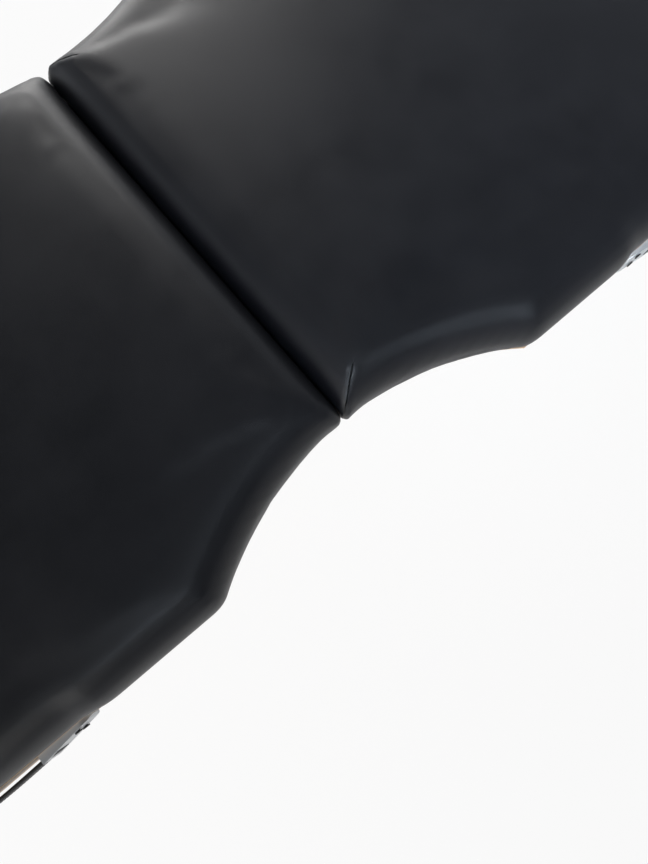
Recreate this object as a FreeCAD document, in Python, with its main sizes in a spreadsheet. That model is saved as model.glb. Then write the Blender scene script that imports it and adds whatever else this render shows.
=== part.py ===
"""Portable two-section massage table with an hourglass waist, standing open at its lowest height.

Millimetres. +X along the table towards the right section, -Y towards the side with the handles,
+Z up. The origin is on the floor, under the middle of the table. Each half is drawn from the same
functions with side +1 (right) or -1 (left), and each leg with lane -1 (front) or +1 (back).
"""
import FreeCAD, Part, Sketcher
import math
import os
import re

SIZES = {
    "section_length": 925,
    "half_width": 350,
    "waist_depth": 70,
    "waist_run": 220,
    "end_round": 60,
    "half_gap": 1.5,
    "pad_round": 40,
    "skin": 1.5,
    "soft_gap": 0.3,
    "foam_height": 53,
    "deck_height": 8,
    "deck_inset": 4,
    "rail_height": 60,
    "rail_width": 20,
    "rail_inset": 6,
    "rail_edge": 2,
    "waist_setback": 20,
    "rail_gap": 0.3,
    "recess_start": 359,
    "recess_slope": 27,
    "recess_depth": 6,
    "handle_start": 392,
    "handle_length": 210,
    "handle_height": 40,
    "handle_drop": 5,
    "handle_cap_length": 60,
    "handle_tip": 4,
    "handle_stand": 10,
    "strap_sink": 1,
    "strap_thick": 4,
    "strap_height": 28,
    "strap_tuck": 15,
    "screw_radius": 2,
    "screw_head": 4,
    "screw_head_height": 1.5,
    "pivot_inset": 110,
    "pivot_drop": 16,
    "fold_drop": 6,
    "leg_length": 530,
    "leg_lean": 8,
    "leg_width": 38,
    "leg_edge": 3,
    "right_lane": 243,
    "left_lane": 187,
    "upper_thick": 22,
    "upper_length": 440,
    "lower_thick": 20,
    "lower_start": 200,
    "leg_travel": 140,
    "slide_gap": 0.3,
    "run_gap": 0.05,
    "crossbar_run": 200,
    "crossbar_height": 40,
    "crossbar_thick": 18,
    "bolt_radius": 4,
    "bolt_head": 7,
    "clamp_run": 380,
    "guide_run": 420,
    "slot_play": 0.5,
    "knob_radius": 13,
    "knob_lobe": 5.5,
    "knob_height": 17,
    "foot_wall": 2,
    "foot_sole": 8,
    "foot_height": 26,
    "bracket_wall": 3,
    "bracket_half": 25,
    "cheek_radius": 13,
    "stay_run": 250,
    "stay_length": 400,
    "stay_width": 18,
    "stay_thick": 6,
    "stay_offset": 4,
    "stay_pin": 3,
    "hook_pin": 4,
    "hook_drop": 20,
    "hook_thick": 4,
    "hook_offset": 1,
    "hook_wall": 12,
    "hook_flange": 20,
    "fold_pin": 2.5,
    "knuckle_radius": 4,
    "leaf_thick": 2,
    "leaf_width": 28,
    "leaf_length": 60,
    "leaf_place": 150,
    "latch_place": 120,
    "latch_plate": 1.5,
    "latch_pad": 32,
    "latch_stud": 3,
    "latch_head": 5,
    "hook_plate": 2.5,
    "hook_eye": 8,
    "hook_arm": 11,
}

SIDES = {"left": -1, "right": 1}
LANES = {"front": -1, "back": 1}

WAIST_RADIUS = "((waist_run^2 + waist_depth^2) / (2 * waist_depth))"
PIVOT_RUN = "(section_length - pivot_inset)"
PIVOT_HEIGHT = "(leg_length * cos(leg_lean))"
DECK_BOTTOM = f"({PIVOT_HEIGHT} + pivot_drop)"
DECK_TOP = f"({DECK_BOTTOM} + deck_height)"
PAD_TOP = f"({DECK_TOP} + soft_gap + foam_height + soft_gap + skin)"
RAIL_BOTTOM = f"({DECK_BOTTOM} - rail_height)"
FOLD_HEIGHT = f"({RAIL_BOTTOM} - fold_drop)"
LATCH_HEIGHT = f"({RAIL_BOTTOM} + rail_height / 2)"
RAIL_FACE = "(half_width - rail_inset)"
RAIL_END = "(section_length - rail_inset)"
WAIST_INSIDE = "(waist_setback + rail_width)"
CORNER_START = "(half_width - end_round)"
LOWER_FACE = "(upper_thick / 2 + slide_gap + lower_thick)"
STAY_ANGLE = "asin((stay_run * cos(leg_lean) - hook_drop) / stay_length)"
STAY_PIN_RUN = f"({PIVOT_RUN} + stay_run * sin(leg_lean))"
STAY_PIN_HEIGHT = f"({PIVOT_HEIGHT} - stay_run * cos(leg_lean))"
HOOK_RUN = f"({STAY_PIN_RUN} - stay_length * cos({STAY_ANGLE}))"
HOOK_HEIGHT = f"({PIVOT_HEIGHT} - hook_drop)"
HANDLE_END = "(handle_start + handle_length)"

FUNCTIONS = {"sin", "cos", "tan", "asin", "sqrt", "deg"}

doc = FreeCAD.newDocument("massage_table")
sheet = doc.addObject("Spreadsheet::Sheet", "sizes")
for row, (alias, value) in enumerate(SIZES.items(), start=1):
    sheet.set(f"A{row}", alias)
    sheet.set(f"B{row}", str(value))
    sheet.setAlias(f"B{row}", alias)
doc.recompute()

nodes = []


def expression(text):
    """Point every size's name in the text at its cell of the sheet."""
    def cell(match):
        word = match.group(0)
        return word if word in FUNCTIONS else f"sizes.{word}"
    return re.sub(r"[a-z][a-z_]*", cell, str(text))


def number(text):
    """Work out what the text comes to with the sheet's sizes."""
    value = sheet.evalExpression(expression(text))
    return float(getattr(value, "Value", value))


def bind(thing, name, text):
    """Tie a property to an expression on the sheet."""
    thing.setExpression(name, expression(text))


def put(thing, place, axis=None, angle=None):
    """Tie a thing's placement to the sheet: place is three texts, and angle turns it about axis."""
    if axis:
        turn = FreeCAD.Rotation(FreeCAD.Vector(*axis), number(angle))
        thing.Placement = FreeCAD.Placement(FreeCAD.Vector(), turn)
    for letter, text in zip("xyz", place):
        bind(thing, f"Placement.Base.{letter}", text)
    if axis and isinstance(angle, str):
        bind(thing, "Placement.Rotation.Angle", angle)
    return thing


def signed(side, text):
    """Mirror a distance to the left half or the front lane."""
    return str(text) if side > 0 else f"(-1 * ({text}))"


def node(thing, label):
    """Name a finished sub-part."""
    thing.Label = label
    nodes.append(thing)
    return thing


def block(name, low, size):
    """A box from its lowest corner, as texts."""
    thing = doc.addObject("Part::Box", name)
    for prop, text in zip(("Length", "Width", "Height"), size):
        bind(thing, prop, text)
    return put(thing, low)


def side_block(name, side, low, size):
    """A box whose lowest X is measured outwards from the table's middle, on the given half."""
    start = low[0] if side > 0 else f"(-1 * ({low[0]}) - ({size[0]}))"
    return block(name, (start, low[1], low[2]), size)


def rod(name, start, length, radius, along):
    """A round bar from its start, along X, Y or Z."""
    thing = doc.addObject("Part::Cylinder", name)
    bind(thing, "Radius", radius)
    bind(thing, "Height", length)
    turns = {"x": ((0, 1, 0), 90), "y": ((1, 0, 0), -90), "z": ((0, 0, 1), 0)}
    axis, angle = turns[along]
    return put(thing, start, axis, angle)


def fuse(name, *pieces):
    """Join pieces into one solid."""
    thing = doc.addObject("Part::MultiFuse", name)
    thing.Shapes = list(pieces)
    thing.Refine = True
    return thing


def cut(name, base, *tools):
    """Cut tools out of a base."""
    thing = doc.addObject("Part::Cut", name)
    thing.Base = base
    thing.Tool = tools[0] if len(tools) == 1 else fuse(f"{name}_tools", *tools)
    return thing


def group(name, *pieces):
    """Keep separate solids together in one node."""
    thing = doc.addObject("Part::Compound", name)
    thing.Links = list(pieces)
    return thing


def plane_of(body, role):
    """Find one of a body's own origin planes."""
    return next(item for item in body.Origin.OriginFeatures if item.Role == role)


def outline_sketch(body, role, corners):
    """Draw a closed outline on an origin plane.

    Each corner is (x, y, edge): two texts, and None where a straight edge leaves it, or
    (radius text, bulge) where an arc leaves it: bulge +1 keeps the arc's centre on the left.
    """
    sketch = body.newObject("Sketcher::SketchObject", f"{body.Name}_outline")
    sketch.AttachmentSupport = [(plane_of(body, role), "")]
    sketch.MapMode = "FlatFace"
    spots = [FreeCAD.Vector(number(x), number(y), 0) for x, y, edge in corners]
    ends = []
    for index, (x, y, edge) in enumerate(corners):
        first = spots[index]
        last = spots[(index + 1) % len(spots)]
        if edge is None:
            sketch.addGeometry(Part.LineSegment(first, last))
            ends.append((1, 2))
            continue
        radius = number(edge[0])
        half = (last - first) * 0.5
        height = math.sqrt(radius**2 - half.Length**2)
        left = FreeCAD.Vector(-half.y, half.x, 0).normalize()
        centre = first + half + left * height * edge[1]
        circle = Part.Circle(centre, FreeCAD.Vector(0, 0, 1), radius)
        begin, stop = (first, last) if edge[1] > 0 else (last, first)
        sketch.addGeometry(Part.ArcOfCircle(circle, circle.parameter(begin), circle.parameter(stop)))
        ends.append((1, 2) if edge[1] > 0 else (2, 1))
    tie_outline(sketch, corners, ends)
    return sketch


def tie_outline(sketch, corners, ends):
    """Join the outline's edges and tie its corners and radii to the sheet."""
    count = len(corners)
    for index in range(count):
        after = (index + 1) % count
        sketch.addConstraint(
            Sketcher.Constraint("Coincident", index, ends[index][1], after, ends[after][0]))
    for index, (x, y, edge) in enumerate(corners):
        start = ends[index][0]
        for kind, text in (("DistanceX", x), ("DistanceY", y)):
            made = sketch.addConstraint(
                Sketcher.Constraint(kind, -1, 1, index, start, number(text)))
            bind(sketch, f"Constraints[{made}]", text)
        if edge is not None:
            made = sketch.addConstraint(Sketcher.Constraint("Radius", index, number(edge[0])))
            bind(sketch, f"Constraints[{made}]", edge[0])


def extruded(name, role, corners, length, both_ways=False):
    """A body made by one outline pushed to a length."""
    body = doc.addObject("PartDesign::Body", name)
    sketch = outline_sketch(body, role, corners)
    pad = body.newObject("PartDesign::Pad", f"{name}_pad")
    pad.Profile = sketch
    bind(pad, "Length", length)
    if both_ways:
        pad.SideType = "Symmetric"
    doc.recompute()
    return body


def round_edges(body, radius, chosen):
    """Fillet the edges of a body's last feature that the test picks."""
    last = body.Tip
    names = [f"Edge{index}" for index, edge in enumerate(last.Shape.Edges, start=1) if chosen(edge)]
    fillet = body.newObject("PartDesign::Fillet", f"{body.Name}_round")
    fillet.Base = (last, names)
    bind(fillet, "Radius", radius)
    doc.recompute()
    return body


def lies_at(height):
    """Pick the edges that lie in one level plane."""
    return lambda edge: all(abs(v.Z - height) < 1e-4 for v in edge.Vertexes) and abs(
        edge.BoundBox.ZMax - edge.BoundBox.ZMin) < 1e-3


def runs_along(axis, shortest):
    """Pick the straight edges along an axis that are at least so long."""
    def chosen(edge):
        box = edge.BoundBox
        spans = {"x": box.XLength, "y": box.YLength, "z": box.ZLength}
        return spans[axis] >= shortest and sum(spans.values()) - spans[axis] < 1e-3
    return chosen


def waist_width(inset, run):
    """Half width on the waist's arc at a run from the middle, for an inset."""
    radius = f"({WAIST_RADIUS} + {inset})"
    centre = f"(half_width - waist_depth + {WAIST_RADIUS})"
    return f"({centre} - sqrt({radius}^2 - ({run})^2))"


def waist_end(inset, side_inset):
    """Run from the middle at which the waist's arc meets the straight side, each at its inset."""
    radius = f"({WAIST_RADIUS} + {inset})"
    return f"sqrt({radius}^2 - ({WAIST_RADIUS} - waist_depth + {side_inset})^2)"


def pad_outline(side, inset):
    """Plan of one half of the upholstery, counter-clockwise on the right half."""
    inner = f"(half_gap + {inset})"
    edge = f"(half_width - {inset})"
    shallow = f"({edge} - recess_depth)"
    corner = f"(end_round - {inset})"
    far = f"(section_length - {inset})"
    run_out = f"(handle_start + {HANDLE_END} - recess_start)"
    waist = waist_width(inset, inner)
    waist_stop = waist_end(inset, inset)
    waist_arc = (f"({WAIST_RADIUS} + {inset})", -side)
    corner_arc = (corner, side)
    plan = [
        (inner, f"-1 * {waist}", waist_arc),
        (waist_stop, f"-1 * {edge}", None),
        ("recess_start", f"-1 * {edge}", None),
        ("recess_start + recess_slope", f"-1 * {shallow}", None),
        (f"{run_out} - recess_slope", f"-1 * {shallow}", None),
        (run_out, f"-1 * {edge}", None),
        (f"{far} - {corner}", f"-1 * {edge}", corner_arc),
        (far, f"{corner} - {edge}", None),
        (far, f"{edge} - {corner}", corner_arc),
        (f"{far} - {corner}", edge, None),
        (waist_stop, edge, waist_arc),
        (inner, waist, None),
    ]
    return [(signed(side, x), y, edge) for x, y, edge in plan]


def pad_solid(name, side, inset, bottom, height, top_round=None):
    """One closed slab with the upholstery's plan."""
    slab = extruded(name, "XY_Plane", pad_outline(side, inset), height)
    if top_round:
        round_edges(slab, top_round, lies_at(number(height)))
    return put(slab, ("0", "0", bottom))


def cover(name, side):
    """Upholstery skin, open underneath where it is fixed round the deck."""
    bottom = f"({DECK_BOTTOM} + soft_gap)"
    outside = pad_solid(f"{name}_outside", side, "0", bottom, f"{PAD_TOP} - {bottom}", "pad_round")
    hollow = pad_solid(f"{name}_hollow", side, "skin", bottom, f"{PAD_TOP} - skin - {bottom}",
                       "pad_round - skin")
    return node(cut(name, outside, hollow), name)


def foam(name, side):
    """Foam block on the deck, under the skin."""
    return node(pad_solid(name, side, "(skin + soft_gap)", f"{DECK_TOP} + soft_gap", "foam_height",
                          "pad_round - skin - soft_gap"), name)


def deck(name, side):
    """Thin board that carries the foam."""
    return node(pad_solid(name, side, "deck_inset", DECK_BOTTOM, "deck_height"), name)


def side_rail(name, side, lane):
    """Long rail that follows the waist, set back there, and turns the table's corner."""
    bend = "(end_round - rail_inset)"
    inner_bend = f"({bend} - rail_width)"
    turn = side * lane
    plan = [
        ("rail_gap", waist_width("waist_setback", "rail_gap"),
         (f"({WAIST_RADIUS} + waist_setback)", turn)),
        (waist_end("waist_setback", "rail_inset"), RAIL_FACE, None),
        (f"{RAIL_END} - {bend}", RAIL_FACE, (bend, -turn)),
        (RAIL_END, f"{RAIL_FACE} - {bend}", None),
        (f"{RAIL_END} - rail_width", f"{RAIL_FACE} - {bend}", (inner_bend, turn)),
        (f"{RAIL_END} - {bend}", f"{RAIL_FACE} - rail_width", None),
        (waist_end(WAIST_INSIDE, "(rail_inset + rail_width)"), f"{RAIL_FACE} - rail_width",
         (f"({WAIST_RADIUS} + {WAIST_INSIDE})", -turn)),
        ("rail_gap", waist_width(WAIST_INSIDE, "rail_gap"), None),
    ]
    corners = [(signed(side, x), signed(lane, y), edge) for x, y, edge in plan]
    rail = extruded(name, "XY_Plane", corners, "rail_height")
    round_edges(rail, "rail_edge", lies_at(0))
    return node(put(rail, ("0", "0", RAIL_BOTTOM)), name)


def end_rail(name, side):
    """Straight rail across the table's end, between the bends of the side rails."""
    return node(side_block(name, side, (f"{RAIL_END} - rail_width", f"-1 * {CORNER_START}",
                                        RAIL_BOTTOM),
                           ("rail_width", f"2 * {CORNER_START}", "rail_height")), name)


def centre_rail(name, side):
    """Straight rail across the waist, beside the fold."""
    half = waist_width(WAIST_INSIDE, "rail_gap")
    return node(side_block(name, side, ("rail_gap", f"-1 * {half}", RAIL_BOTTOM),
                           ("rail_width", f"2 * {half}", "rail_height")), name)


def hinge_brackets(name, side, lane_run):
    """A folded steel bracket over each leg: a top plate and two cheeks with the pivot's hole."""
    made = []
    inner = "(leg_width / 2 + slot_play)"
    wide = f"(2 * ({inner} + bracket_wall))"
    run = signed(side, PIVOT_RUN)
    for which, lane in LANES.items():
        label = f"{name}_{which}"
        middle = signed(lane, lane_run)
        plate = block(f"{label}_plate", (f"{run} - bracket_half", f"{middle} - {wide} / 2",
                                         f"{DECK_BOTTOM} - bracket_wall"),
                      ("2 * bracket_half", wide, "bracket_wall"))
        pieces = [plate]
        for cheek in (-1, 1):
            start = f"({middle} + {cheek} * ({inner} + bracket_wall / 2) - bracket_wall / 2)"
            pieces.append(block(f"{label}_cheek", (f"{run} - cheek_radius", start, PIVOT_HEIGHT),
                                ("2 * cheek_radius", "bracket_wall", "pivot_drop")))
            pieces.append(rod(f"{label}_eye", (run, start, PIVOT_HEIGHT), "bracket_wall",
                              "cheek_radius", "y"))
        hole = rod(f"{label}_hole", (run, f"{middle} - {wide}", PIVOT_HEIGHT), f"2 * {wide}",
                   "bolt_radius", "y")
        made.append(cut(label, fuse(f"{label}_metal", *pieces), hole))
    return node(group(name, *made), name)


def hinge_bolts(name, side, lane_run):
    """The pivot bolt of each leg, with its head and nut outside the bracket's cheeks."""
    made = []
    grip = "(leg_width / 2 + slot_play + bracket_wall)"
    cap = "bolt_radius"
    run = signed(side, PIVOT_RUN)
    for which, lane in LANES.items():
        label = f"{name}_{which}"
        middle = signed(lane, lane_run)
        start = (run, f"{middle} - {grip} - {cap}", PIVOT_HEIGHT)
        shank = rod(f"{label}_shank", start, f"2 * ({grip} + {cap})", "bolt_radius", "y")
        head = rod(f"{label}_head", start, cap, "bolt_head", "y")
        nut = rod(f"{label}_nut", (run, f"{middle} + {grip}", PIVOT_HEIGHT), cap, "bolt_head", "y")
        made.append(fuse(label, shank, head, nut))
    return node(group(name, *made), name)


def at_pivot(thing, side):
    """Hang a leg's piece, drawn straight down from its pivot, from the frame at the leg's lean."""
    return put(thing, (signed(side, PIVOT_RUN), "0", PIVOT_HEIGHT), (0, -side, 0), "leg_lean")


def leg_bar(name, corners):
    """A leg's wood, drawn in profile and pushed to its width, with its long edges eased."""
    body = extruded(name, "XZ_Plane", corners, "leg_width", both_ways=True)
    return round_edges(body, "leg_edge", runs_along("z", number("leg_travel")))


def upper_leg(name, side, lane, lane_run):
    """Wooden upper leg: round top at the pivot, holes for its pivot, stay and clamp bolts."""
    half = "upper_thick / 2"
    corners = [
        (f"-1 * {half}", "0", None),
        (f"-1 * {half}", "-1 * upper_length", None),
        (half, "-1 * upper_length", None),
        (half, "0", (half, 1)),
        ("0", half, (half, 1)),
    ]
    middle = signed(lane, lane_run)
    bar = put(leg_bar(f"{name}_bar", corners), ("0", middle, "0"))
    pivot = rod(f"{name}_pivot_hole", ("0", f"{middle} - leg_width", "0"), "2 * leg_width",
                "bolt_radius + run_gap", "y")
    inner = signed(lane, f"({lane_run} - leg_width / 2)")
    stay = rod(f"{name}_stay_hole", ("0", f"{inner} - leg_width / 2", "-1 * stay_run"),
               "leg_width", "stay_pin + run_gap", "y")
    clamps = [rod(f"{name}_clamp_hole", ("-1 * upper_thick", middle, f"-1 * {run}"),
                  "2 * upper_thick", "bolt_radius", "x") for run in ("clamp_run", "guide_run")]
    return node(at_pivot(cut(name, bar, pivot, stay, *clamps), side), name)


def lower_leg(name, side, lane, lane_run):
    """Wooden lower leg that slides on the upper leg's outer face, with the clamp's long slot."""
    face = signed(side, "(upper_thick / 2 + slide_gap)")
    back = signed(side, LOWER_FACE)
    middle = signed(lane, lane_run)
    end = "-1 * (leg_length - foot_sole)"
    corners = [
        (face, "-1 * lower_start", None),
        (face, end, None),
        (back, end, None),
        (back, "-1 * lower_start", None),
    ]
    bar = put(leg_bar(f"{name}_bar", corners), ("0", middle, "0"))
    start = face if side > 0 else back
    half = "(bolt_radius + slot_play)"
    top = "(clamp_run - leg_travel)"
    slot = block(f"{name}_slot", (f"{start} - 1", f"{middle} - {half}", "-1 * guide_run"),
                 ("lower_thick + 2", f"2 * {half}", f"guide_run - {top}"))
    ends = [rod(f"{name}_slot_end", (f"{start} - 1", middle, f"-1 * {run}"), "lower_thick + 2",
                half, "x") for run in ("guide_run", top)]
    return node(at_pivot(cut(name, bar, slot, *ends), side), name)


def foot(name, side, lane, lane_run):
    """Rubber boot on the leg's end, its sole cut level with the floor."""
    inner = "(upper_thick / 2 + slide_gap - foot_wall)"
    outer = f"({LOWER_FACE} + foot_wall)"
    top = "(leg_length - foot_height)"
    corners = [
        (signed(side, inner), f"-1 * {top}", None),
        (signed(side, inner), f"-1 * (leg_length + {inner} * tan(leg_lean))", None),
        (signed(side, outer), f"-1 * (leg_length + {outer} * tan(leg_lean))", None),
        (signed(side, outer), f"-1 * {top}", None),
    ]
    boot = extruded(f"{name}_boot", "XZ_Plane", corners, "leg_width + 2 * foot_wall", True)
    middle = signed(lane, lane_run)
    put(boot, ("0", middle, "0"))
    start = "(upper_thick / 2 + slide_gap)" if side > 0 else f"(-1 * {LOWER_FACE})"
    socket = block(f"{name}_socket", (start, f"{middle} - leg_width / 2",
                                      "-1 * (leg_length - foot_sole)"),
                   ("lower_thick", "leg_width", "foot_height"))
    return node(at_pivot(cut(name, boot, socket), side), name)


def crossbar(name, side, lane_run):
    """Wooden bar between the two upper legs."""
    half = f"({lane_run} - leg_width / 2)"
    bar = block(f"{name}_bar", ("-1 * crossbar_thick / 2", f"-1 * {half}",
                                "-1 * crossbar_run - crossbar_height / 2"),
                ("crossbar_thick", f"2 * {half}", "crossbar_height"))
    return node(at_pivot(group(name, bar), side), name)


def outward_rod(name, side, start, length, radius, y, z):
    """A round bar across the leg's thickness, from a distance measured towards the table's end."""
    first = start if side > 0 else f"(-1 * ({start}) - ({length}))"
    return rod(name, (first, y, z), length, radius, "x")


def clamp_bolts(name, side, lane_run):
    """Clamp bolt and guide bolt of each leg, through the upper leg and the lower leg's slot."""
    made = []
    inside = "(-1 * upper_thick / 2)"
    for which, lane in LANES.items():
        middle = signed(lane, lane_run)
        for kind, run in (("clamp", "clamp_run"), ("guide", "guide_run")):
            label = f"{name}_{which}_{kind}"
            depth = f"-1 * {run}"
            reach = f"({LOWER_FACE} + slot_play)"
            tail = "knob_height - bracket_wall" if kind == "clamp" else "screw_head_height"
            shank = outward_rod(f"{label}_shank", side, inside,
                                f"upper_thick / 2 + {reach} + {tail}", "bolt_radius", middle, depth)
            head = outward_rod(f"{label}_head", side, f"{inside} - screw_head_height",
                               "screw_head_height", "2 * bolt_radius", middle, depth)
            pieces = [shank, head]
            if kind == "guide":
                pieces.append(outward_rod(f"{label}_washer", side, reach, "screw_head_height",
                                          "2 * bolt_radius", middle, depth))
            made.append(fuse(label, *pieces))
    return node(at_pivot(group(name, *made), side), name)


def knob(name, side, lane, lane_run):
    """Five-lobed hand knob on the clamp bolt."""
    start = f"({LOWER_FACE} + slot_play)"
    middle = signed(lane, lane_run)
    depth = "-1 * clamp_run"
    hub = outward_rod(f"{name}_hub", side, start, "knob_height", "knob_radius", middle, depth)
    pieces = [hub]
    for lobe in range(5):
        angle = 72 * lobe
        across = f"({middle} + knob_radius * sin({angle} deg))"
        up = f"({depth} + knob_radius * cos({angle} deg))"
        pieces.append(outward_rod(f"{name}_lobe", side, f"({start} + knob_height / 3)",
                                  "2 * knob_height / 3", "knob_lobe", across, up))
    bore = outward_rod(f"{name}_bore", side, f"({start} - 1)", "knob_height - bracket_wall + 2",
                       "bolt_radius + run_gap", middle, depth)
    return node(at_pivot(cut(name, fuse(f"{name}_star", *pieces), bore), side), name)


def stay(name, side, lane, lane_run):
    """Flat steel strut from the upper leg to the hook under the deck, with a pin at each end."""
    outer = f"({lane_run} - leg_width / 2 - stay_offset)"
    inner = f"({outer} - stay_thick)"
    low = signed(1, inner) if lane > 0 else f"(-1 * {outer})"
    half = "stay_width / 2"
    far = signed(-side, "stay_length")
    bar_start = far if side > 0 else "0"
    bar = block(f"{name}_bar", (bar_start, low, f"-1 * {half}"),
                ("stay_length", "stay_thick", "stay_width"))
    ends = [rod(f"{name}_end", (run, low, "0"), "stay_thick", half, "y") for run in ("0", far)]
    pin_length = "(stay_offset + stay_thick + leg_width / 4)"
    pin_low = inner if lane > 0 else f"(-1 * ({inner} + {pin_length}))"
    pin = rod(f"{name}_pin", ("0", pin_low, "0"), pin_length, "stay_pin", "y")
    peg_length = "(stay_thick + hook_offset + hook_thick)"
    peg_low = f"({outer} - {peg_length})" if lane > 0 else f"(-1 * {outer})"
    peg = rod(f"{name}_peg", (far, peg_low, "0"), peg_length, "hook_pin", "y")
    strut = fuse(name, bar, *ends, pin, peg)
    put(strut, (signed(side, STAY_PIN_RUN), "0", STAY_PIN_HEIGHT), (0, side, 0), STAY_ANGLE)
    return node(strut, name)


def stay_hook(name, side, lane, lane_run):
    """Steel hook under the deck that the stay's end pin bears in; it is open below and inwards."""
    outer = f"({lane_run} - leg_width / 2 - stay_offset - stay_thick - hook_offset)"
    low = f"({outer} - hook_thick)" if lane > 0 else f"(-1 * {outer})"
    flange_low = f"({outer} - hook_flange)" if lane > 0 else f"(-1 * {outer})"
    reach = "(hook_pin + hook_wall)"
    seat = "(hook_pin + soft_gap)"
    plate = side_block(f"{name}_plate", side,
                       (f"{HOOK_RUN} - {reach}", low, f"{HOOK_HEIGHT} - {reach}"),
                       (f"2 * {reach}", "hook_thick", f"{DECK_BOTTOM} - {HOOK_HEIGHT} + {reach}"))
    flange = side_block(f"{name}_flange", side,
                        (f"{HOOK_RUN} - {reach}", flange_low, f"{DECK_BOTTOM} - bracket_wall"),
                        (f"2 * {reach}", "hook_flange", "bracket_wall"))
    eye = rod(f"{name}_eye", (signed(side, HOOK_RUN), f"{low} - 1", HOOK_HEIGHT),
              "hook_thick + 2", seat, "y")
    mouth = side_block(f"{name}_mouth", side,
                       (f"{HOOK_RUN} - 2 * {reach}", f"{low} - 1", f"{HOOK_HEIGHT} - 2 * {reach}"),
                       (f"2 * {reach} + {seat}", "hook_thick + 2", f"2 * {reach}"))
    throat = side_block(f"{name}_throat", side,
                        (f"{HOOK_RUN} - 2 * {reach}", f"{low} - 1", f"{HOOK_HEIGHT} - {reach}"),
                        (f"2 * {reach}", "hook_thick + 2", f"{reach} + {seat}"))
    return node(cut(name, fuse(f"{name}_metal", plate, flange), eye, mouth, throat), name)


def handle_cap(name, side, end):
    """Cast end cap of the carry handle, thin at its tip and open for the strap at its root."""
    tip = "handle_start" if end < 0 else HANDLE_END
    root = f"({tip} + {-end} * handle_cap_length)"
    nose = f"({tip} + {-end} * handle_tip)"
    plan = [
        (tip, f"-1 * {RAIL_FACE}", None),
        (tip, f"-1 * ({RAIL_FACE} + handle_tip / 2)", None),
        (nose, f"-1 * ({RAIL_FACE} + handle_tip)", None),
        (root, f"-1 * ({RAIL_FACE} + handle_stand)", None),
        (root, f"-1 * {RAIL_FACE}", None),
    ]
    corners = [(signed(side, x), y, edge) for x, y, edge in plan]
    shell = extruded(f"{name}_shell", "XY_Plane", corners, "handle_height")
    upright = runs_along("y", 0.9 * number("handle_tip / 2"))
    near = abs(number(tip))
    round_edges(shell, "handle_height / 3",
                lambda edge: upright(edge) and abs(abs(edge.BoundBox.XMin) - near) < 1e-3)
    put(shell, ("0", "0", f"{DECK_BOTTOM} - handle_drop - handle_height"))
    return shell


def handle_middle():
    """Height of the handle's centre line."""
    return f"({DECK_BOTTOM} - handle_drop - handle_height / 2)"


def strap_block(name, side, extra):
    """Space of the strap, grown by a clearance."""
    start = f"(handle_start + handle_cap_length - strap_tuck - {extra})"
    length = f"(handle_length - 2 * handle_cap_length + 2 * strap_tuck + 2 * {extra})"
    outer = f"(-1 * ({RAIL_FACE} + handle_stand) + strap_sink)"
    return side_block(name, side,
                      (start, f"{outer} - {extra}",
                       f"{handle_middle()} - strap_height / 2 - {extra}"),
                      (length, f"strap_thick + 2 * {extra}", f"strap_height + 2 * {extra}"))


def handle_caps(name, side):
    """Both end caps of one handle."""
    made = []
    for which, end in (("inner", -1), ("outer", 1)):
        shell = handle_cap(f"{name}_{which}", side, end)
        slot = strap_block(f"{name}_{which}_slot", side, "soft_gap")
        holes = [rod(f"{name}_{which}_hole", spot, "4 * handle_stand", "screw_radius", "y")
                 for spot in screw_spots(side, end)]
        made.append(cut(f"{name}_{which}", shell, slot, *holes))
    return node(group(name, *made), name)


def screw_spots(side, end):
    """Start of each screw of one cap, inside the rail."""
    tip = "handle_start" if end < 0 else HANDLE_END
    run = signed(side, f"({tip} + {-end} * handle_cap_length / 3)")
    return [(run, f"(-1 * {RAIL_FACE} - 2 * handle_stand)",
             f"({handle_middle()} + {row} * handle_height / 4)") for row in (-1, 1)]


def handle_screws(name, side):
    """Two screws through each cap into the rail's face."""
    made = []
    seat = "(handle_tip + (handle_stand - handle_tip) / 3 + 0.2)"
    for end in (-1, 1):
        for run, _, height in screw_spots(side, end):
            start = f"(-1 * {RAIL_FACE} - {seat})"
            shank = rod(f"{name}_shank", (run, start, height), seat, "screw_radius", "y")
            head = rod(f"{name}_head", (run, f"{start} - screw_head_height", height),
                       "screw_head_height", "screw_head", "y")
            made.append(fuse(f"{name}_screw", shank, head))
    return node(group(name, *made), name)


def fold_leaves(name, side):
    """Hinge leaves under one centre rail, with their knuckles on the fold's axis."""
    made = []
    part = "leaf_length / 3"
    play = "soft_gap"
    for which, lane in LANES.items():
        label = f"{name}_{which}"
        middle = signed(lane, "leaf_place")
        start = f"({middle} - leaf_length / 2)"
        top = f"({FOLD_HEIGHT} + fold_drop)"
        pieces = [side_block(f"{label}_leaf", side, ("rail_gap", start, f"{top} - leaf_thick"),
                             ("leaf_width", "leaf_length", "leaf_thick"))]
        spans = ([(f"({start} + {part} + {play})", f"({part} - 2 * {play})")] if side > 0 else
                 [(start, part), (f"({start} + 2 * {part})", part)])
        for low, length in spans:
            pieces.append(rod(f"{label}_knuckle", ("0", low, FOLD_HEIGHT), length,
                              "knuckle_radius", "y"))
            pieces.append(side_block(f"{label}_neck", side, ("rail_gap", low, FOLD_HEIGHT),
                                     ("knuckle_radius - rail_gap", length,
                                      "fold_drop - leaf_thick")))
        bore = rod(f"{label}_bore", ("0", f"{start} - 1", FOLD_HEIGHT), "leaf_length + 2",
                   "fold_pin + run_gap", "y")
        made.append(cut(label, fuse(f"{label}_metal", *pieces), bore))
    return node(group(name, *made), name)


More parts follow.
